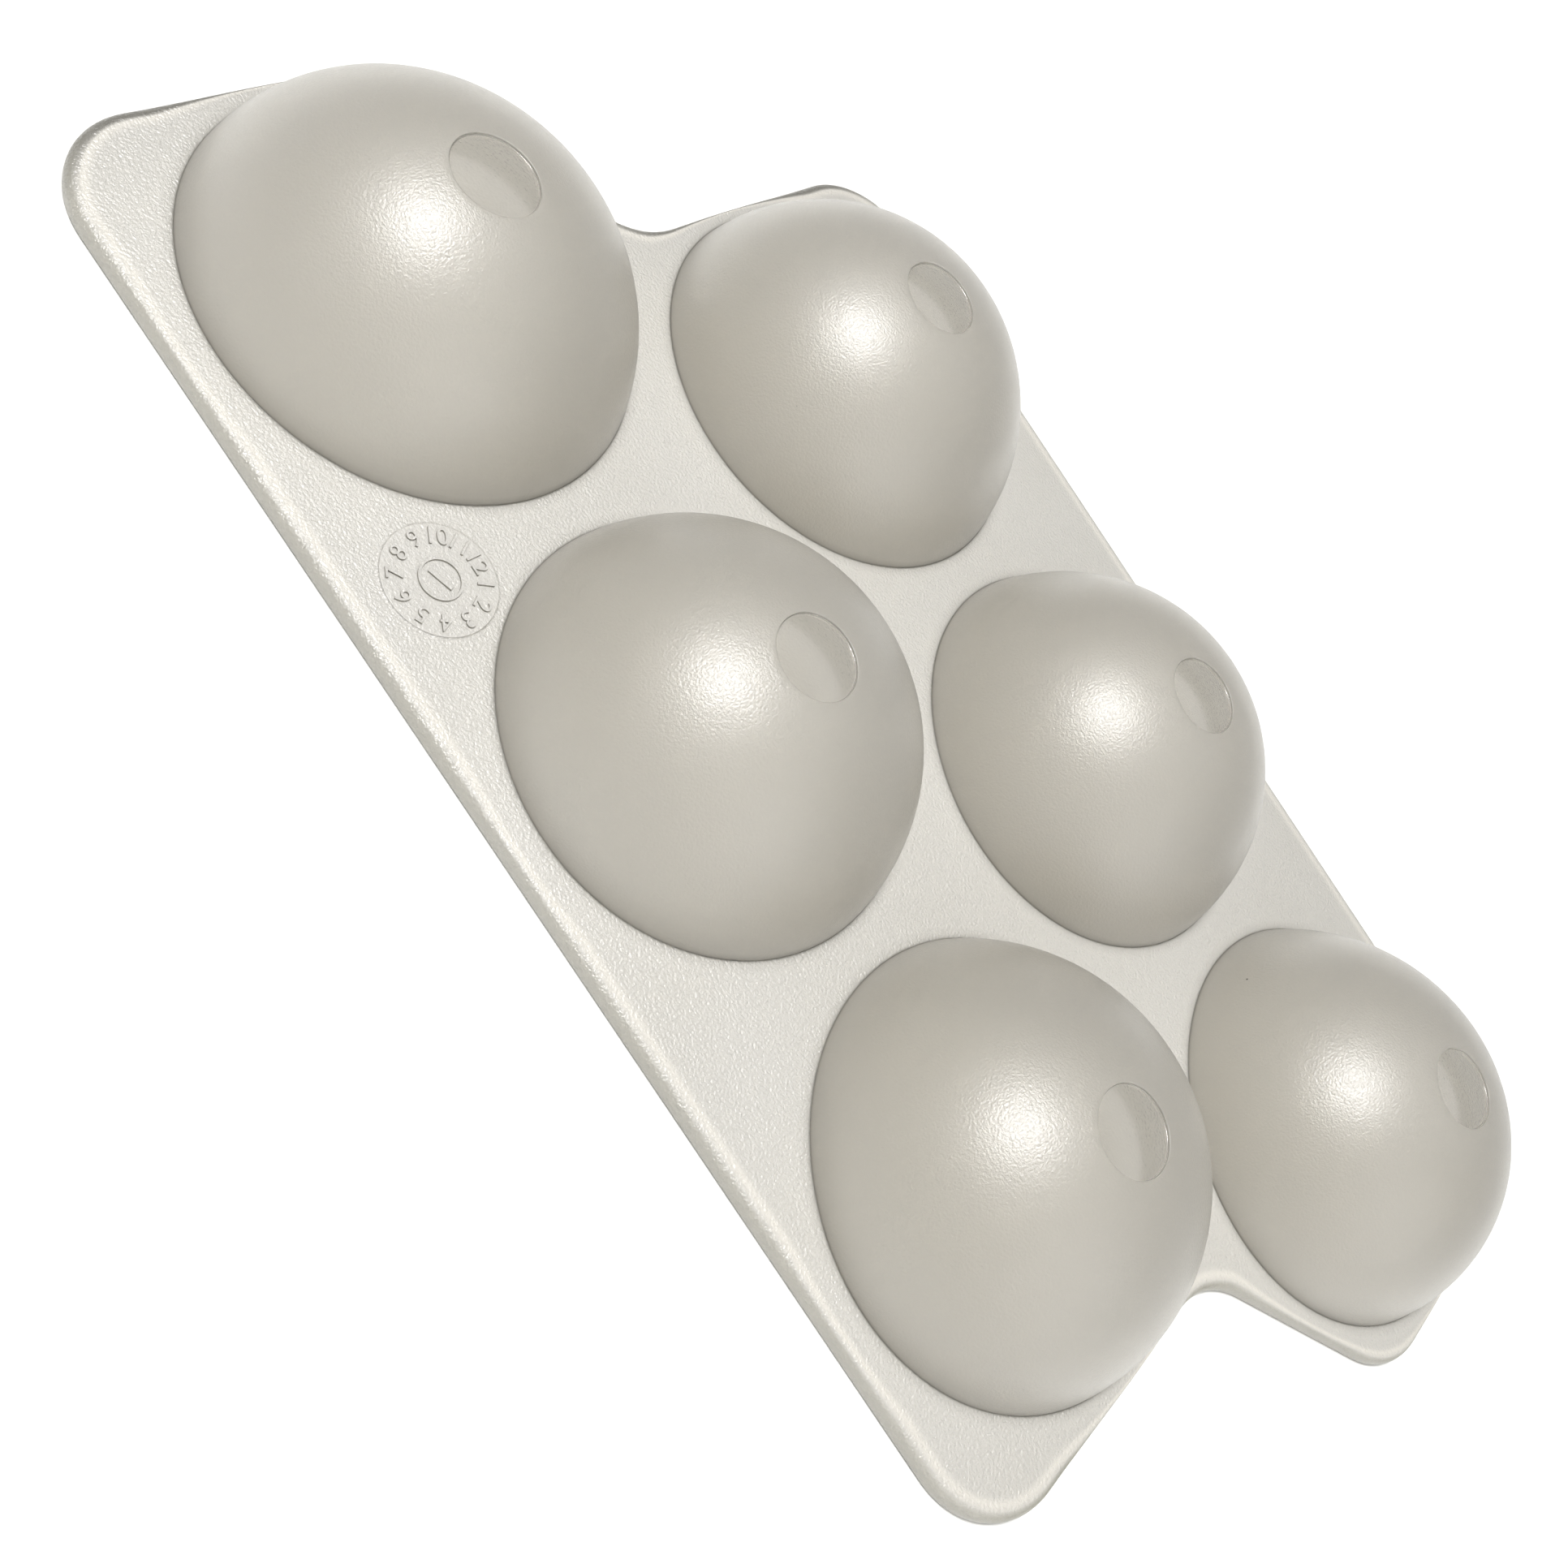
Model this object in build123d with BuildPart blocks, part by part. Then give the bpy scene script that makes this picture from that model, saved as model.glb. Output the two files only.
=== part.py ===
from build123d import *
import os

# Tray for six eggs: one frosted moulding, lying upside down on the face of its deck.
# X runs along the rows, Y across them, Z up through the closed ends of the cups.
# The origin is the middle of the face that the tray lies on. All sizes are in mm.

# Cups
cups_per_row = 3
cup_base_radius = 22.5  # outside, where the dome would meet the deck without its fillet
cup_height = 18.0  # top of the dome above the deck, before the recess
cup_wall = 1.5
cup_gap = 5.0  # between the feet of two domes in one row
row_gap = 5.43  # between the feet of a front dome and the back domes beside it
foot_fillet = 0.5  # hollow fillet round the foot of each dome
mouth_round = 0.6  # soft lip where the egg goes in

# Polished recess in the closed end of each cup, which follows the curve of the dome
recess_radius = 4.3
recess_depth = 0.3
recess_lip_round = 0.08

# Deck
deck_thickness = 1.6
end_land = 1.5  # from a dome's foot to the end of its row
side_land = 3.8  # from a dome's foot to the long edge
step_rise = 15.0  # how far the slanted step between the rows climbs across the tray
corner_radius = 10.0
lying_edge_round = 0.25
edge_upright = 0.3  # upright strip left between the two rounds of the edge

# Dial on the front margin, between the first two cups: a raised pad with a ring and a pointer
dial_radius = 5.6
dial_relief = 0.12
dial_ring_radius = 2.15
dial_line = 0.25
dial_mark_relief = 0.12  # ring and pointer above the pad
dial_shift = 0.7  # its middle along the row, past the point halfway between the two cups
dial_inset = 9.9  # its middle from the long edge
pointer_length = 2.6
pointer_width = 0.5
pointer_turn = 20.0

# Pattern of the cups: each back cup stands halfway between two front places
cup_pitch = 2 * cup_base_radius + cup_gap
row_stagger = cup_pitch / 2
row_spacing = ((2 * cup_base_radius + row_gap) ** 2 - row_stagger**2) ** 0.5
row_half_length = (cups_per_row - 1) / 2 * cup_pitch
cup_centres = {}
for row, side in (("front", -1), ("back", 1)):
    for place in range(cups_per_row):
        along = place * cup_pitch - row_half_length + side * row_stagger / 2
        cup_centres[f"cup_{row}_{place + 1}"] = (along, side * row_spacing / 2)

# Deck sizes that follow
half_length = row_half_length + row_stagger / 2 + cup_base_radius + end_land
half_width = row_spacing / 2 + cup_base_radius + side_land
short_end = half_length - row_stagger
top_edge_round = deck_thickness - lying_edge_round - edge_upright

# Dome sizes that follow, as radius and height about the cup's own axis
outer_radius = (cup_base_radius**2 + cup_height**2) / (2 * cup_height)
inner_radius = outer_radius - cup_wall
recess_floor_radius = outer_radius - recess_depth
dome_centre_z = deck_thickness + cup_height - outer_radius
fillet_centre_reach = outer_radius + foot_fillet
fillet_centre_rise = deck_thickness + foot_fillet - dome_centre_z
collar_radius = (fillet_centre_reach**2 - fillet_centre_rise**2) ** 0.5
foot_share = outer_radius / fillet_centre_reach
foot_top = (collar_radius * foot_share, dome_centre_z + fillet_centre_rise * foot_share)
recess_lip = (recess_radius, dome_centre_z + (outer_radius**2 - recess_radius**2) ** 0.5)
recess_foot = (recess_radius, dome_centre_z + (recess_floor_radius**2 - recess_radius**2) ** 0.5)
recess_crown = (0, dome_centre_z + recess_floor_radius)
inner_crown = (0, dome_centre_z + inner_radius)
mouth = ((inner_radius**2 - dome_centre_z**2) ** 0.5, 0)


def save(piece, name):
    piece.label = name
    export_step(piece, f"parts/{name}.step")


os.makedirs("parts", exist_ok=True)

# Deck: two staggered strips in one plate, with a round seat for each cup's collar
with BuildPart() as deck:
    with BuildSketch() as deck_outline:
        with BuildLine():
            Polyline(
                (-half_length, -half_width),
                (short_end, -half_width),
                (short_end, -step_rise / 2),
                (half_length, step_rise / 2),
                (half_length, half_width),
                (-short_end, half_width),
                (-short_end, step_rise / 2),
                (-half_length, -step_rise / 2),
                close=True,
            )
        make_face()
        fillet(deck_outline.vertices(), corner_radius)
    extrude(amount=deck_thickness)
    fillet(deck.faces().sort_by(Axis.Z)[-1].edges(), top_edge_round)
    fillet(deck.faces().sort_by(Axis.Z)[0].edges(), lying_edge_round)
    with Locations(*cup_centres.values()):
        Hole(collar_radius)
save(deck.part, "deck")

# Cups: a domed shell with a collar as thick as the deck, turned about the cup's own axis
for name, (x, y) in cup_centres.items():
    with BuildPart() as cup:
        with BuildSketch(Plane(origin=(x, y, 0), x_dir=(1, 0, 0), z_dir=(0, -1, 0))):
            with BuildLine():
                Polyline(mouth, (collar_radius, 0), (collar_radius, deck_thickness))
                RadiusArc((collar_radius, deck_thickness), foot_top, -foot_fillet)
                RadiusArc(foot_top, recess_lip, -outer_radius)
                Line(recess_lip, recess_foot)
                RadiusArc(recess_foot, recess_crown, -recess_floor_radius)
                Line(recess_crown, inner_crown)
                RadiusArc(inner_crown, mouth, inner_radius)
            make_face()
        revolve(axis=Axis((x, y, 0), (0, 0, 1)))
        rings = cup.edges().filter_by(lambda edge: edge.is_closed)
        fillet(rings.group_by(Axis.Z)[0].sort_by(SortBy.RADIUS)[0], mouth_round)
        rings = cup.edges().filter_by(lambda edge: edge.is_closed)
        fillet(rings.group_by(Axis.Z)[-1], recess_lip_round)
    save(cup.part, name)

# Dial: a thin round pad on the deck, with a raised ring and a pointer across its middle
dial_x = cup_centres["cup_front_1"][0] + cup_pitch / 2 + dial_shift
dial_y = dial_inset - half_width
with BuildPart() as dial:
    with BuildSketch(Plane((dial_x, dial_y, deck_thickness))):
        Circle(dial_radius)
    extrude(amount=dial_relief)
    with BuildSketch(Plane((dial_x, dial_y, deck_thickness + dial_relief))):
        Circle(dial_ring_radius)
        Circle(dial_ring_radius - dial_line, mode=Mode.SUBTRACT)
        Rectangle(pointer_length, pointer_width, rotation=pointer_turn)
    extrude(amount=dial_mark_relief)
save(dial.part, "dial")
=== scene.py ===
import math
import bmesh
import bpy
from mathutils import Matrix, Vector
from mathutils.geometry import delaunay_2d_cdt


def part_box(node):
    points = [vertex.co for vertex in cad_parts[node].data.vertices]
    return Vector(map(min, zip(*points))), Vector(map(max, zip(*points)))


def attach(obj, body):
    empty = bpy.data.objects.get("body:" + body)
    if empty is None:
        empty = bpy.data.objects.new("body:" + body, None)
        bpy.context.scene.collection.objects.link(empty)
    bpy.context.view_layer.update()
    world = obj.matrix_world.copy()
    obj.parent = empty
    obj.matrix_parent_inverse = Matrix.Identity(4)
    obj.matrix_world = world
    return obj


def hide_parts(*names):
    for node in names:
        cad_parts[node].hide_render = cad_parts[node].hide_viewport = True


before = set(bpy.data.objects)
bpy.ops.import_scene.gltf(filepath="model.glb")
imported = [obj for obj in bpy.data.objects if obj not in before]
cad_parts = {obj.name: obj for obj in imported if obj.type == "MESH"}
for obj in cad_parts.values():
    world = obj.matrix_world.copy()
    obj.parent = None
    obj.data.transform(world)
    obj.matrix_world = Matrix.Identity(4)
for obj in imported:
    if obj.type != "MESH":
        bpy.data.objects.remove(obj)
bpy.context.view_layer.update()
mm = 0.001
print("frame loaded")


def middle(box):
    low, high = box
    return (low[0] + high[0]) / 2, (low[1] + high[1]) / 2


def halfWidth(box):
    low, high = box
    return (high[0] - low[0]) / 2


# Places and sizes that the frame gives. The tray lies with the closed ends of its cups up.
deckLow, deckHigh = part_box("deck")
deckTop = deckHigh[2]
dialCentre = middle(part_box("dial"))
dialRadius = halfWidth(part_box("dial"))
cupNames = sorted(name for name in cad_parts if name.startswith("cup_"))
cupCentres = {name: middle(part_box(name)) for name in cupNames}
collarRadius = halfWidth(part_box(cupNames[0]))


def linear(hexColour):
    channels = [int(hexColour[i:i + 2], 16) / 255 for i in (1, 3, 5)]
    return tuple(c / 12.92 if c <= 0.04045 else ((c + 0.055) / 1.055) ** 2.4 for c in channels) + (1.0,)


def addNode(tree, kind, inputs=None, **settings):
    node = tree.nodes.new(kind)
    for key, value in settings.items():
        setattr(node, key, value)
    for key, value in (inputs or {}).items():
        if isinstance(value, bpy.types.NodeSocket):
            tree.links.new(value, node.inputs[key])
        else:
            node.inputs[key].default_value = value
    return node


def mixColour(tree, share, first, second):
    inputs = {0: share, 6: first, 7: second}
    return addNode(tree, "ShaderNodeMix", inputs, data_type="RGBA").outputs[2]


def newTree(owner):
    owner.use_nodes = True
    owner.node_tree.nodes.clear()
    return owner.node_tree


def arcPoints(centre, radius, start, end, count):
    # From angle start to angle end about centre, both ends included
    return [
        (
            centre[0] + radius * math.cos(start + (end - start) * i / count),
            centre[1] + radius * math.sin(start + (end - start) * i / count),
        )
        for i in range(count + 1)
    ]


# Frosted polystyrene from a spark-eroded mould: warm light grey with a silky sheen and a fine crisp grain.
plasticSettings = {
    "ior": 1.59,
    "drift": 22 * mm,  # slow change of tone through the moulding
    "driftDetail": 2.0,
    "grainDetail": 1.5,
    "grainMix": 0.6,
    "roughSpread": 0.15,  # how far the roughness follows the grain, up and down
    "speckSpacing": 10 * mm,  # rare dark specks caught in the plastic
    "speckSize": 0.16 * mm,
    "speckCore": 0.6,
    "speck": "#3c3a36",
    # painted on by each ring of the mesh, in this order
    "tones": {
        "edgeGlow": "#fefaf1",  # light gathered along the rim and low in each dome
        "edgeShade": "#a19e8c",  # "edgeShade": "#a19e8c", # painted shade on the round of the rim
        "footShade": "#86837b",  # "footShade": "#86837b", # painted shade in the crease at the foot of each dome, on the left ends of the rim and in the corner of each recess
    },
}

# The deck looks paler than the hollow cups, because it lies flat on its card.
# Both grains are drawn coarser than real ones of about 0.2 mm, so that they show.
deckFinish = {
    "tone": "#e8e6e1",
    "toneWarm": "#e3e0d8",
    "transmission": 0.45,
    "roughness": 0.42,
    "grain": 0.31 * mm,
    "relief": 0.16 * mm,
    "skin": 0.62,  # smoother skin of the plastic over its rough grain
    "skinRoughness": 0.31,
}
cupFinish = {
    "tone": "#e9e6df",
    "toneWarm": "#e5e1d7",
    "transmission": 0.75,
    "roughness": 0.44,
    "grain": 0.25 * mm,
    "relief": 0.054 * mm,
    "skin": 0.62,
    "skinRoughness": 0.31,
}
# Dial: the deck's finish with a shallower grain
dialFinish = {**deckFinish, "relief": 0.11 * mm}
# Upright sides of the dial's raised marks: painted shade, darker so that the marks read
markSideShadeFinish = {**dialFinish, "tone": "#a5a297", "toneWarm": "#a09c90", "transmission": 0.3}
# Polished polystyrene in the recesses, where the mould was smooth: clear reflections
polishedFinish = {**cupFinish, "roughness": 0.22, "relief": 0.0004 * mm, "skin": 1.0, "skinRoughness": 0.05}


def makePlastic(name, finish):
    settings = plasticSettings
    material = bpy.data.materials.new(name)
    tree = newTree(material)
    place = addNode(tree, "ShaderNodeTexCoord").outputs["Object"]
    drift = addNode(tree, "ShaderNodeTexNoise", {
        "Vector": place, "Scale": 1 / settings["drift"], "Detail": settings["driftDetail"],
    })
    colour = mixColour(tree, drift.outputs["Fac"], linear(finish["tone"]), linear(finish["toneWarm"]))
    for tone, shade in settings["tones"].items():
        mask = addNode(tree, "ShaderNodeAttribute", attribute_name=tone)
        colour = mixColour(tree, mask.outputs["Fac"], colour, linear(shade))
    specks = addNode(tree, "ShaderNodeTexVoronoi", {"Vector": place, "Scale": 1 / settings["speckSpacing"]})
    speckReach = settings["speckSize"] / settings["speckSpacing"]
    isSpeck = addNode(tree, "ShaderNodeMapRange", {
        "Value": specks.outputs["Distance"],
        "From Min": speckReach, "From Max": settings["speckCore"] * speckReach,
    })
    colour = mixColour(tree, isSpeck.outputs["Result"], colour, linear(settings["speck"]))
    # eroded grain: rounded pits, shinier and duller by turns
    pits = addNode(tree, "ShaderNodeTexNoise", {
        "Vector": place, "Scale": 1 / finish["grain"],
        "Detail": settings["grainDetail"], "Roughness": settings["grainMix"],
    })
    bump = addNode(tree, "ShaderNodeBump", {
        "Height": pits.outputs["Fac"], "Strength": 1.0, "Distance": finish["relief"],
    })
    rough = addNode(tree, "ShaderNodeMapRange", {
        "Value": pits.outputs["Fac"], "From Min": 0.3, "From Max": 0.7,
        "To Min": finish["roughness"] * (1 - settings["roughSpread"]),
        "To Max": finish["roughness"] * (1 + settings["roughSpread"]),
    })
    shader = addNode(tree, "ShaderNodeBsdfPrincipled", {
        "Base Color": colour,
        "Roughness": rough.outputs["Result"],
        "IOR": settings["ior"],
        "Transmission Weight": finish["transmission"],
        "Coat Weight": finish["skin"],
        "Coat Roughness": finish["skinRoughness"],
        "Coat Normal": bump.outputs["Normal"],
        "Normal": bump.outputs["Normal"],
    })
    addNode(tree, "ShaderNodeOutputMaterial", {"Surface": shader.outputs["BSDF"]})
    return material


frostedDeck = makePlastic("frosted_polystyrene_deck", deckFinish)
frostedDial = makePlastic("frosted_polystyrene_dial", dialFinish)
frostedCup = makePlastic("frosted_polystyrene_cup", cupFinish)
markSideShade = makePlastic("frosted_polystyrene_mark_side_painted_shade", markSideShadeFinish)
polished = makePlastic("polished_polystyrene", polishedFinish)
mouldingMaterials = {"deck": frostedDeck, "cup": frostedCup, "recess": polished, "dial": frostedDial}
print("materials made")

# The moulding: deck, rim, six domed cups and the dial's pad as one closed skin
mouldingSettings = {
    "turns": 128,  # points round each circle
    "support": 0.25 * mm,  # plain ring that keeps a rounded edge crisp
}
outlineSettings = {
    "stepRise": 15.0 * mm,
    "cornerRadius": 10.0 * mm,
    "cornerStep": math.radians(4),
    "fewestSteps": 6,
    "straightStep": 1.0 * mm,
}
rimSettings = {
    "topRound": 1.05 * mm,
    "topSteps": 10,
    "lyingRound": 0.25 * mm,
    "lyingSteps": 4,
    "lyingSupport": 0.2 * mm,
    "width": 3.0 * mm,  # from the edge to where the plate is plain
    "roomShare": 0.62,  # and never more than this share of the way to a dome
    "roundShare": 0.36,  # share of that width that the round takes
    # share of the width and glow of each ring from the round to the plain plate
    "plateSteps": ((0.42, 0.8), (0.50, 1.0), (0.58, 0.7), (0.68, 0.2), (0.8, 0.0), (1.0, 0.0)),
    "underShade": 0.6,
    "lyingShade": 0.9,
    "shadeFades": (6, 9),  # steps of the top round between which the shade fades
    "endFades": (9, 12),
    "glowStarts": 8,
    "glowGrows": 0.3,
    "frontPaler": 0.6,
    "endDarker": 1.4,
    "endLimit": 0.4,
}
cupSettings = {
    "baseRadius": 22.5 * mm,
    "domeHeight": 18.0 * mm,
    "domeSteps": 44,
    "wall": 1.5 * mm,
    "insideSteps": 28,
    "mouthRound": 0.6 * mm,
    "mouthSteps": 6,
    "recessRadius": 4.3 * mm,
    "recessDepth": 0.3 * mm,
    "recessRound": 0.08 * mm,
    "recessSteps": 4,
    "recessFillet": 0.06 * mm,
    "bowlInsets": (1, 2.5, 5),  # in fillets, from the recess's wall
    "bowlSteps": 10,
    "footWidth": 0.9 * mm,  # "footWidth": 0.9 * mm, # band of faint painted shade on the plate round each dome
    "footShare": 0.3,
    "bandSteps": ((1.0, 0.0), (0.5, 0.08), (0.1, 0.16)),  # share of the band, shade
    "creaseSteps": ((0.22, 0.0, 0.3), (0.10, 0.012, 0.6), (0.03, 0.05, 1.0)),  # mm out, mm down, shade
    "liftSteps": ((0.0, 1.0), (0.06, 0.6), (0.2, 0.15), (0.4, 0.0)),  # mm up the dome, shade
    "glowHeight": 12.0 * mm,
    "glowTowards": math.radians(8),
    "glowAround": 0.3,
    "glowFacing": 0.7,
    "cornerTowards": (-0.75, -0.66),
    "cornerShade": 0.8,
    "cornerReach": 0.1 * mm,
}
padSettings = {
    "relief": 0.12 * mm,
    "round": 0.05 * mm,
    "roundSteps": 4,
    "flatInset": 0.1 * mm,
}


def newSkin():
    return {"points": [], "faces": [], "parts": [], "tones": {tone: [] for tone in plasticSettings["tones"]}}


def addRing(skin, ring, **tones):
    # A tone is one value for the whole ring or a list of values round it
    points = skin["points"]
    points.extend(ring)
    for tone, values in skin["tones"].items():
        value = tones.get(tone, 0.0)
        values.extend(value if isinstance(value, list) else [value] * len(ring))
    return list(range(len(points) - len(ring), len(points)))


def addFace(skin, corners, part):
    skin["faces"].append(tuple(corners))
    skin["parts"].append(list(mouldingMaterials).index(part))


def bridge(skin, low, high, part):
    # Quads between two closed rings
    for i in range(len(low)):
        j = (i + 1) % len(low)
        addFace(skin, (low[i], low[j], high[j], high[i]), part)


def bridgeAll(skin, rings, part):
    for low, high in zip(rings, rings[1:]):
        bridge(skin, low, high, part)


def cap(skin, ring, point, part, upward):
    tip = addRing(skin, [point])[0]
    for i in range(len(ring)):
        pair = (ring[i], ring[(i + 1) % len(ring)])
        addFace(skin, (*(pair if upward else pair[::-1]), tip), part)


def fillFlat(skin, outer, holes, part, upward):
    # Triangles between an outer loop and its holes, all at one height
    loops = [outer, *holes]
    flat = [i for loop in loops for i in loop]
    edges, first = [], 0
    for loop in loops:
        edges += [(first + k, first + (k + 1) % len(loop)) for k in range(len(loop))]
        first += len(loop)
    spots = [Vector(skin["points"][i][:2]) / mm for i in flat]
    insideEdges, closeness = 1, 1e-6
    found = delaunay_2d_cdt(spots, edges, [], insideEdges, closeness)
    source = [ids[0] for ids in found[3]]
    members = [set(loop) for loop in holes]
    for face in found[2]:
        corners = [flat[source[k]] for k in face]
        if not any(hole.issuperset(corners) for hole in members):
            addFace(skin, corners if upward else corners[::-1], part)


def turnAngles():
    turns = mouldingSettings["turns"]
    return [math.tau * i / turns for i in range(turns)]


def circle(centre, radii, z):
    # radii is one radius or a list of them round the circle
    angles = turnAngles()
    reach = radii if isinstance(radii, list) else [radii] * len(angles)
    return [
        (centre[0] + r * math.cos(angle), centre[1] + r * math.sin(angle), z)
        for angle, r in zip(angles, reach)
    ]


def deckOutline(settings):
    # Points and outward directions round the rounded outline, anticlockwise
    halfX, halfY = deckHigh[0], deckHigh[1]
    places = sorted({round(x, 7) for x, y in cupCentres.values() if y < 0})
    shortX = halfX - (places[1] - places[0]) / 2
    rise = settings["stepRise"] / 2
    radius = settings["cornerRadius"]
    corners = [
        (-halfX, -halfY), (shortX, -halfY), (shortX, -rise), (halfX, rise),
        (halfX, halfY), (-shortX, halfY), (-shortX, rise), (-halfX, -rise),
    ]
    arcs = []
    for i, corner in enumerate(corners):
        here = Vector(corner)
        before = (here - Vector(corners[i - 1])).normalized()
        after = (Vector(corners[(i + 1) % len(corners)]) - here).normalized()
        turn = math.atan2(before.x * after.y - before.y * after.x, before.dot(after))
        side = math.copysign(1, turn)
        start = here - before * radius * math.tan(abs(turn) / 2)
        centre = start + Vector((-before.y, before.x)) * radius * side
        steps = max(settings["fewestSteps"], round(abs(turn) / settings["cornerStep"]))
        arc = []
        for k in range(steps + 1):
            angle = math.atan2(before.y, before.x) + turn * k / steps
            out = Vector((math.sin(angle), -math.cos(angle)))
            arc.append((centre + out * radius * side, out))
        arcs.append(arc)
    outline = []
    for i, arc in enumerate(arcs):
        outline += arc
        start, out = arc[-1]
        end = arcs[(i + 1) % len(arcs)][0][0]
        steps = max(1, round((end - start).length / settings["straightStep"]))
        outline += [(start.lerp(end, k / steps), out) for k in range(1, steps)]
    return outline


def fade(step, between):
    # 1 up to the first step, then down to 0 at the second
    start, end = between
    return min(1.0, max(0.0, (end - step) / (end - start)))


def buildRim(skin, settings, outline):
    # From underneath: small round, upright strip, elliptical round, then the plate
    widths = []
    for spot, out in outline:
        room = min((spot - Vector(c)).length for c in cupCentres.values()) - collarRadius
        widths.append(min(settings["width"], settings["roomShare"] * room))
    # the painted shade on the round is palest along the front and darkest at the left ends
    paler = [1 - settings["frontPaler"] * max(0.0, -out.y) for spot, out in outline]
    darker = [max(0.0, -settings["endDarker"] * out.x - settings["endLimit"]) for spot, out in outline]

    def addRim(insets, z, edgeShade=0.0, endShade=0.0, edgeGlow=0.0):
        ring = [(*(spot - out * inset), z) for (spot, out), inset in zip(outline, insets)]
        edgeShades = [edgeShade * k for k in paler]
        footShades = [endShade * k for k in darker]
        return addRing(skin, ring, edgeShade=edgeShades, footShade=footShades, edgeGlow=edgeGlow)

    lying, topRound = settings["lyingRound"], settings["topRound"]
    underShade, lyingShade = settings["underShade"], settings["lyingShade"]
    underInset = lying + settings["lyingSupport"]
    rings = [addRim([underInset] * len(outline), 0.0, underShade, underShade)]
    for i in range(settings["lyingSteps"] + 1):
        angle = math.radians(90 / settings["lyingSteps"] * i)
        inset = lying * (1 - math.sin(angle))
        rings.append(addRim([inset] * len(outline), lying * (1 - math.cos(angle)), lyingShade, lyingShade))
    for i in range(settings["topSteps"] + 1):
        angle = math.radians(90 / settings["topSteps"] * i)
        share = settings["roundShare"] * (1 - math.cos(angle))
        rings.append(addRim(
            [width * share for width in widths], deckTop - topRound + topRound * math.sin(angle),
            fade(i, settings["shadeFades"]), fade(i, settings["endFades"]),
            max(0.0, (i - settings["glowStarts"]) * settings["glowGrows"]),
        ))
    for share, glow in settings["plateSteps"]:
        rings.append(addRim([width * share for width in widths], deckTop, edgeGlow=glow))
    bridgeAll(skin, rings, "deck")
    return rings[0], rings[-1]


def domeSphere(settings):
    # Outer radius of the dome and the height of its centre
    base, rise = settings["baseRadius"], settings["domeHeight"]
    radius = (base**2 + rise**2) / (2 * rise)
    return radius, deckTop + rise - radius


def footProfile(settings):
    # Radius, height and shade of the rings in the crease and just above it
    radius, centreZ = domeSphere(settings)

    def onDome(z):
        return math.sqrt(radius**2 - (z - centreZ) ** 2)

    reach = onDome(deckTop - settings["creaseSteps"][-1][1] * mm)
    crease = [(reach + out * mm, deckTop - down * mm, shade) for out, down, shade in settings["creaseSteps"]]
    heights = [(deckTop + lift * mm, shade) for lift, shade in settings["liftSteps"]]
    return crease, [(onDome(z), z, shade) for z, shade in heights]


def domeProfile(settings, lowest):
    # Radius and height up the dome, over the lip of its recess and down the recess's wall
    radius, centreZ = domeSphere(settings)
    recess, lip = settings["recessRadius"], settings["recessRound"]
    lipAngle = math.acos((recess + lip) / radius)
    lipZ = centreZ + radius * math.sin(lipAngle)
    lowAngle = math.asin((lowest - centreZ) / radius)
    dome = arcPoints((0, centreZ), radius, lowAngle, lipAngle, settings["domeSteps"])[1:]
    dome += arcPoints((recess + lip, lipZ - lip), lip, lipAngle, math.pi, settings["recessSteps"])[1:]
    floorRadius = radius - settings["recessDepth"]
    dome.append((recess, centreZ + math.sqrt(floorRadius**2 - recess**2) + settings["recessFillet"]))
    return dome


def bowlProfile(settings):
    # Radius and height over the recess's floor, a cap that follows the dome
    radius, centreZ = domeSphere(settings)
    floorRadius = radius - settings["recessDepth"]
    bowl = []
    for step in settings["bowlInsets"]:
        reach = settings["recessRadius"] - step * settings["recessFillet"]
        bowl.append((reach, centreZ + math.sqrt(floorRadius**2 - reach**2)))
    lastAngle = math.acos(bowl[-1][0] / floorRadius)
    bowl += arcPoints((0, centreZ), floorRadius, lastAngle, math.pi / 2, settings["bowlSteps"])[1:-1]
    return bowl, centreZ + floorRadius


def insideProfile(settings):
    # Radius and height from the mouth, over its soft lip and up inside the dome
    radius, centreZ = domeSphere(settings)
    innerRadius = radius - settings["wall"]
    lip = settings["mouthRound"]
    lipCentre = (math.sqrt((innerRadius + lip) ** 2 - (lip - centreZ) ** 2), lip)
    lipTurn = math.atan2(lipCentre[1] - centreZ, lipCentre[0])
    inside = [(lipCentre[0] + mouldingSettings["support"], 0.0)]
    inside += arcPoints(lipCentre, lip, -math.pi / 2, -math.pi + lipTurn, settings["mouthSteps"])
    inside += arcPoints((0, centreZ), innerRadius, lipTurn, math.pi / 2, settings["insideSteps"])[1:-1]
    return inside, centreZ + innerRadius


def footWidths(settings, centre, outline):
    # The band round a dome narrows where the rim or the dial's pad is close
    widths = []
    for angle in turnAngles():
        spot = Vector(centre) + collarRadius * Vector((math.cos(angle), math.sin(angle)))
        room = min((spot - p).length for p, out in outline)
        room = min(room, (spot - Vector(dialCentre)).length - dialRadius - mouldingSettings["support"])
        widths.append(min(settings["footWidth"], settings["footShare"] * room))
    return widths


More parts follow.
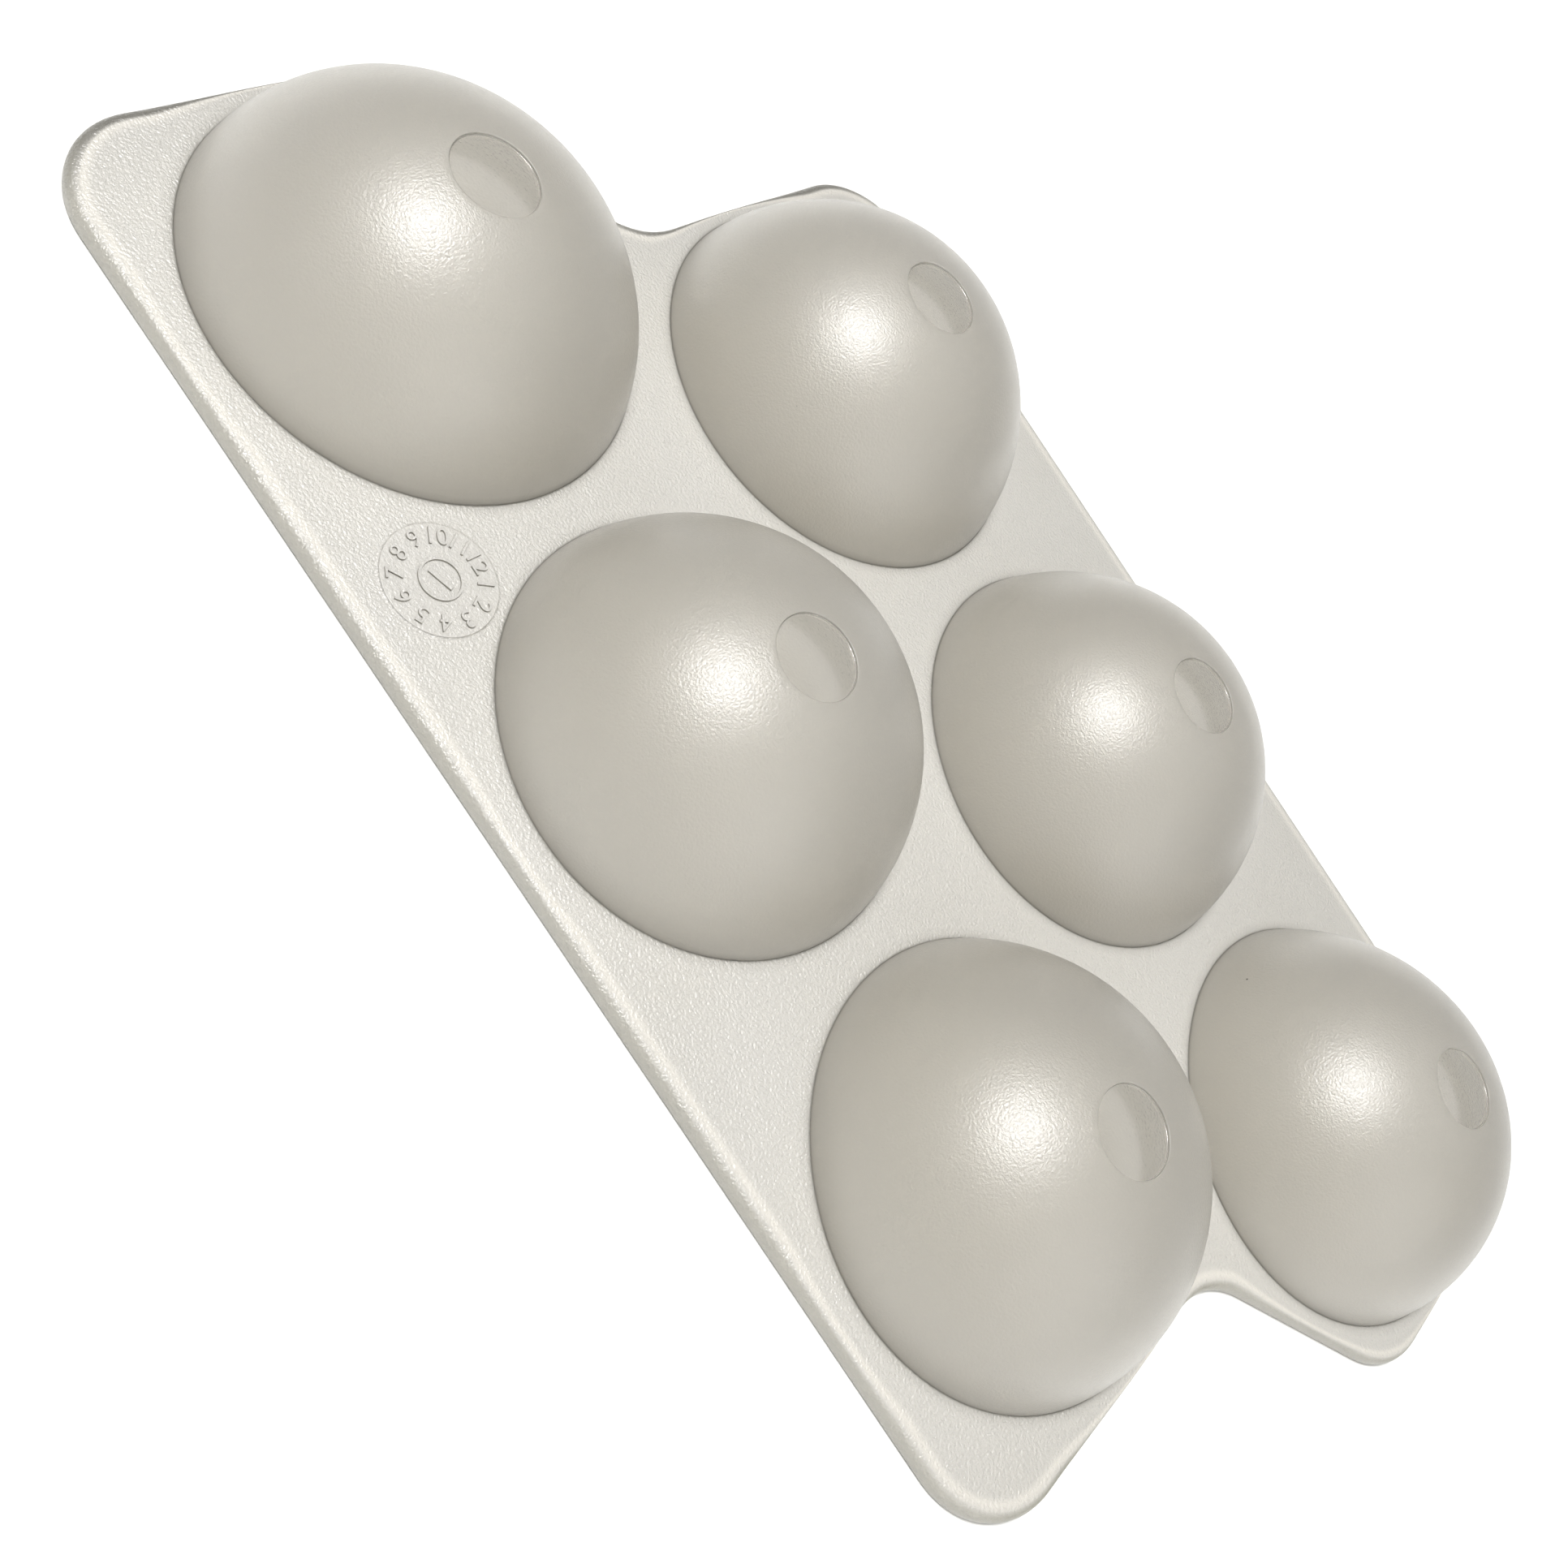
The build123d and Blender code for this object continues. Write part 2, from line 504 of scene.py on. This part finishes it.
def buildCup(skin, settings, centre, outline):
    def addCircles(profile):
        return [addRing(skin, circle(centre, r, z), footShade=shade) for r, z, shade in profile]

    widths = footWidths(settings, centre, outline)
    crease, lifts = footProfile(settings)
    plate = [
        addRing(skin, circle(centre, [collarRadius + w * share for w in widths], deckTop), footShade=shade)
        for share, shade in settings["bandSteps"]
    ]
    plate += addCircles(crease)
    bridgeAll(skin, plate, "deck")

    # painted glow low in each dome, most of all on the right, where light gathers
    towards = settings["glowTowards"]
    facing = [max(0.0, math.cos(angle - towards)) for angle in turnAngles()]
    strength = [settings["glowAround"] + settings["glowFacing"] * k for k in facing]
    shell = [plate[-1]] + addCircles(lifts)
    for r, z in domeProfile(settings, lifts[-1][1]):
        low = max(0.0, 1 - (z - deckTop) / settings["glowHeight"])
        shell.append(addRing(skin, circle(centre, r, z), edgeGlow=[k * low for k in strength]))
    bridgeAll(skin, shell, "cup")

    # painted shade in the corner of the recess, darkest towards the front left
    x, y = settings["cornerTowards"]
    corner = [max(0.0, x * math.cos(angle) + y * math.sin(angle)) for angle in turnAngles()]
    bowl, bowlTop = bowlProfile(settings)
    hollow = [shell[-1]]
    for r, z in bowl:
        atWall = r > settings["recessRadius"] - settings["cornerReach"]
        shade = [settings["cornerShade"] * k for k in corner] if atWall else 0.0
        hollow.append(addRing(skin, circle(centre, r, z), footShade=shade))
    bridgeAll(skin, hollow, "recess")
    cap(skin, hollow[-1], (*centre, bowlTop), "recess", True)

    inside, insideTop = insideProfile(settings)
    rings = [addRing(skin, circle(centre, r, z)) for r, z in inside]
    for low, high in zip(rings, rings[1:]):
        bridge(skin, high, low, "cup")
    cap(skin, rings[-1], (*centre, insideTop), "cup", False)
    return plate[0], rings[0]


def buildPad(skin, settings):
    # A thin round step up from the deck
    padTop, padRound = deckTop + settings["relief"], settings["round"]
    roundStart = (dialRadius - padRound, padTop - padRound)
    pad = [(dialRadius + mouldingSettings["support"], deckTop), (dialRadius, deckTop)]
    pad += arcPoints(roundStart, padRound, 0, math.pi / 2, settings["roundSteps"])
    pad.append((dialRadius - padRound - settings["flatInset"], padTop))
    rings = [addRing(skin, circle(dialCentre, r, z)) for r, z in pad]
    bridgeAll(skin, rings[1:], "dial")
    bridge(skin, rings[0], rings[1], "deck")
    fillFlat(skin, rings[-1], [], "dial", True)
    return rings[0]


def buildMoulding():
    skin = newSkin()
    outline = deckOutline(outlineSettings)
    underEdge, plateEdge = buildRim(skin, rimSettings, outline)
    holes = [buildCup(skin, cupSettings, cupCentres[name], outline) for name in cupNames]
    padHole = buildPad(skin, padSettings)
    fillFlat(skin, plateEdge, [top for top, under in holes] + [padHole], "deck", True)
    fillFlat(skin, underEdge, [under for top, under in holes], "deck", False)
    mesh = bpy.data.meshes.new("tray_moulding")
    mesh.from_pydata(skin["points"], [], skin["faces"])
    mesh.polygons.foreach_set("material_index", skin["parts"])
    mesh.polygons.foreach_set("use_smooth", [True] * len(skin["faces"]))
    for tone, values in skin["tones"].items():
        mesh.attributes.new(tone, "FLOAT", "POINT").data.foreach_set("value", values)
    for material in mouldingMaterials.values():
        mesh.materials.append(material)
    mesh.update()
    piece = bpy.data.objects.new("tray_moulding", mesh)
    bpy.context.scene.collection.objects.link(piece)
    return piece


moulding = buildMoulding()
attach(moulding, "root")
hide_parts("deck", *cupNames)
print("moulding built")

# Marks on the dial: ring, pointer and the hours read outwards
dialSettings = {
    "ringRadius": 2.15 * mm,
    "ringLine": 0.25 * mm,
    "ringSteps": 72,
    "pointerLength": 2.6 * mm,
    "pointerWidth": 0.5 * mm,
    "pointerTurn": math.radians(20),
    "relief": 0.20 * mm,
    "sink": 0.04 * mm,
    "softEdge": 0.02 * mm,
    "join": 0.001 * mm,
    "numberSize": 2.4 * mm,  # type size, so the figures stand about 1.7 mm tall
    "numberRadius": 4.2 * mm,
    "numbers": 12,
    "topFacing": 0.6,  # a face that points up more than this is a mark's top
}


def lineCurve(name, splines):
    curve = bpy.data.curves.new(name, "CURVE")
    curve.dimensions = "2D"
    curve.fill_mode = "BOTH"
    for ring in splines:
        spline = curve.splines.new("POLY")
        spline.points.add(len(ring) - 1)
        for point, (x, y) in zip(spline.points, ring):
            point.co = (x, y, 0, 1)
        spline.use_cyclic_u = True
    return curve


def numberText(name, number, settings):
    text = bpy.data.curves.new(name, "FONT")
    text.body = str(number)
    text.size = settings["numberSize"]
    text.align_x = "CENTER"
    text.align_y = "CENTER"
    return text


def solidMark(name, data, matrix, settings):
    # Thickness half up and half down, then into place as a mesh
    data.extrude = (settings["relief"] + settings["sink"]) / 2
    data.bevel_depth = settings["softEdge"]
    data.bevel_resolution = 1
    data.offset = -settings["softEdge"]
    carrier = bpy.data.objects.new(name + "_line", data)
    bpy.context.scene.collection.objects.link(carrier)
    bpy.context.view_layer.update()
    graph = bpy.context.evaluated_depsgraph_get()
    mesh = bpy.data.meshes.new_from_object(carrier.evaluated_get(graph))
    bpy.data.objects.remove(carrier)
    # the faces and the sides of a letter come apart, so they are joined here
    shape = bmesh.new()
    shape.from_mesh(mesh)
    bmesh.ops.remove_doubles(shape, verts=shape.verts, dist=settings["join"])
    shape.to_mesh(mesh)
    shape.free()
    lift = deckTop + padSettings["relief"] + (settings["relief"] - settings["sink"]) / 2
    mesh.transform(Matrix.Translation((*dialCentre, lift)) @ matrix)
    mesh.name = name
    mesh.materials.clear()
    mesh.materials.append(frostedDial)
    mesh.materials.append(markSideShade)
    # upright faces take the copy with painted shade
    sides = [0 if face.normal.z > settings["topFacing"] else 1 for face in mesh.polygons]
    mesh.polygons.foreach_set("material_index", sides)
    piece = bpy.data.objects.new(name, mesh)
    bpy.context.scene.collection.objects.link(piece)
    return piece


def buildDialMarks(settings):
    radii = (settings["ringRadius"], settings["ringRadius"] - settings["ringLine"])
    turns = [math.tau * i / settings["ringSteps"] for i in range(settings["ringSteps"])]
    ring = [[(r * math.cos(angle), r * math.sin(angle)) for angle in turns] for r in radii]
    marks = [solidMark("dial_ring", lineCurve("dial_ring", ring), Matrix.Identity(4), settings)]
    x, y = settings["pointerLength"] / 2, settings["pointerWidth"] / 2
    bar = lineCurve("dial_pointer", [[(-x, -y), (x, -y), (x, y), (-x, y)]])
    marks.append(solidMark("dial_pointer", bar, Matrix.Rotation(settings["pointerTurn"], 4, "Z"), settings))
    radius = settings["numberRadius"]
    for number in range(1, settings["numbers"] + 1):
        name = f"dial_number_{number}"
        angle = math.radians(90 - 360 / settings["numbers"] * number)
        turn = Matrix.Rotation(angle - math.pi / 2, 4, "Z")
        out = Matrix.Translation((radius * math.cos(angle), radius * math.sin(angle), 0))
        marks.append(solidMark(name, numberText(name, number, settings), out @ turn, settings))
    return marks


dialMarks = buildDialMarks(dialSettings)
for mark in dialMarks:
    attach(mark, "root")
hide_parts("dial")
print("dial marks built")

# Floor: matt white card that the tray lies on
floorSettings = {
    "size": 4.0,
    "gap": 0.05 * mm,
    "tone": "#efefed",
    "roughness": 0.85,
    "grain": 0.6 * mm,
    "relief": 0.005 * mm,
}


def buildFloor(settings):
    half = settings["size"] / 2
    z = deckLow[2] - settings["gap"]
    corners = [(-half, -half, z), (half, -half, z), (half, half, z), (-half, half, z)]
    mesh = bpy.data.meshes.new("floor")
    mesh.from_pydata(corners, [], [(0, 1, 2, 3)])
    material = bpy.data.materials.new("white_card")
    tree = newTree(material)
    place = addNode(tree, "ShaderNodeTexCoord").outputs["Object"]
    grain = addNode(tree, "ShaderNodeTexNoise", {
        "Vector": place, "Scale": 1 / settings["grain"], "Detail": 2.0,
    })
    bump = addNode(tree, "ShaderNodeBump", {"Height": grain.outputs["Fac"], "Distance": settings["relief"]})
    shader = addNode(tree, "ShaderNodeBsdfPrincipled", {
        "Base Color": linear(settings["tone"]),
        "Roughness": settings["roughness"],
        "Normal": bump.outputs["Normal"],
    })
    addNode(tree, "ShaderNodeOutputMaterial", {"Surface": shader.outputs["BSDF"]})
    mesh.materials.append(material)
    piece = bpy.data.objects.new("floor", mesh)
    bpy.context.scene.collection.objects.link(piece)
    return piece


floor = buildFloor(floorSettings)
print("floor built")

# Light: a soft box high on the left, a wide fill on the right, and a pale room that is brighter to the right
lampSettings = {
    "softBox": {"direction": (-0.27, -0.09, 0.957), "distance": 1.2, "size": 0.42, "power": 15.0},
    "sideFill": {"direction": (0.80, -0.32, 0.50), "distance": 1.4, "size": 1.3, "power": 3.8},
}
lampTone = "#fffefd"
roomSettings = {
    "left": "#848484",
    "right": "#cecece",
    "acrossTurn": 0.7,
    "behindTurn": 0.4,
    # by height: wall, dark beam, pale ceiling
    "behind": (
        (0.0, "#959595"), (0.50, "#8a8a8a"), (0.56, "#202020"), (0.66, "#262626"),
        (0.70, "#ffffff"), (0.80, "#f0f0f0"), (0.92, "#b0b0b0"), (1.0, "#bebebe"),
    ),
}


def buildLamp(name, lamp):
    data = bpy.data.lights.new(name, "AREA")
    data.shape = "DISK"
    data.size = lamp["size"]
    data.energy = lamp["power"]
    data.color = linear(lampTone)[:3]
    light = bpy.data.objects.new(name, data)
    bpy.context.scene.collection.objects.link(light)
    towards = Vector(lamp["direction"]).normalized()
    light.location = towards * lamp["distance"]
    light.rotation_euler = towards.to_track_quat("Z", "Y").to_euler()


def buildRoom(settings):
    world = bpy.data.worlds.new("pale_room")
    tree = newTree(world)
    facing = addNode(tree, "ShaderNodeSeparateXYZ", {
        "Vector": addNode(tree, "ShaderNodeTexCoord").outputs["Generated"],
    })
    wall = addNode(tree, "ShaderNodeValToRGB", {"Fac": facing.outputs["Z"]})
    stops = wall.color_ramp.elements
    for place, tone in settings["behind"][1:-1]:
        stops.new(place)
    for stop, (place, tone) in zip(stops, settings["behind"]):
        stop.position = place
        stop.color = linear(tone)
    behind = addNode(tree, "ShaderNodeMapRange", {
        "Value": facing.outputs["Y"], "From Min": 0.0, "From Max": settings["behindTurn"],
    }, interpolation_type="SMOOTHSTEP")
    across = addNode(tree, "ShaderNodeMapRange", {
        "Value": facing.outputs["X"],
        "From Min": -settings["acrossTurn"], "From Max": settings["acrossTurn"],
    }, interpolation_type="SMOOTHSTEP")
    sides = mixColour(tree, across.outputs["Result"], linear(settings["left"]), linear(settings["right"]))
    tone = mixColour(tree, behind.outputs["Result"], sides, wall.outputs["Color"])
    room = addNode(tree, "ShaderNodeBackground", {"Color": tone, "Strength": 1.0})
    addNode(tree, "ShaderNodeOutputWorld", {"Surface": room.outputs["Background"]})
    bpy.context.scene.world = world


for lampName, lamp in lampSettings.items():
    buildLamp(lampName, lamp)
buildRoom(roomSettings)

# Camera: close above the front edge, looking down and turned about its own axis
cameraSettings = {
    "place": (-7.89 * mm, -117.98 * mm, 118.70 * mm),
    "forward": (0.0213, 0.6483, -0.76109),
    "up": (-0.83093, 0.43481, 0.34712),
    "lens": 36.388,
    "sensor": 36.0,
    "nearest": 5 * mm,
}


def buildCamera(settings):
    data = bpy.data.cameras.new("camera")
    data.lens = settings["lens"]
    data.sensor_width = settings["sensor"]
    data.clip_start = settings["nearest"]
    back = -Vector(settings["forward"]).normalized()
    right = Vector(settings["up"]).cross(back).normalized()
    up = back.cross(right)
    turn = Matrix((right, up, back)).transposed().to_4x4()
    camera = bpy.data.objects.new("camera", data)
    camera.matrix_world = Matrix.Translation(settings["place"]) @ turn
    bpy.context.scene.collection.objects.link(camera)
    bpy.context.scene.camera = camera


buildCamera(cameraSettings)
bpy.context.scene.view_settings.view_transform = "Standard"
bpy.context.scene.cycles.use_denoising = True
# enough bounces for light to find its way between the cups
bounceSettings = {"max_bounces": 10, "diffuse_bounces": 5, "glossy_bounces": 3, "transmission_bounces": 6}
for bounce, count in bounceSettings.items():
    setattr(bpy.context.scene.cycles, bounce, count)
print("light and camera set")
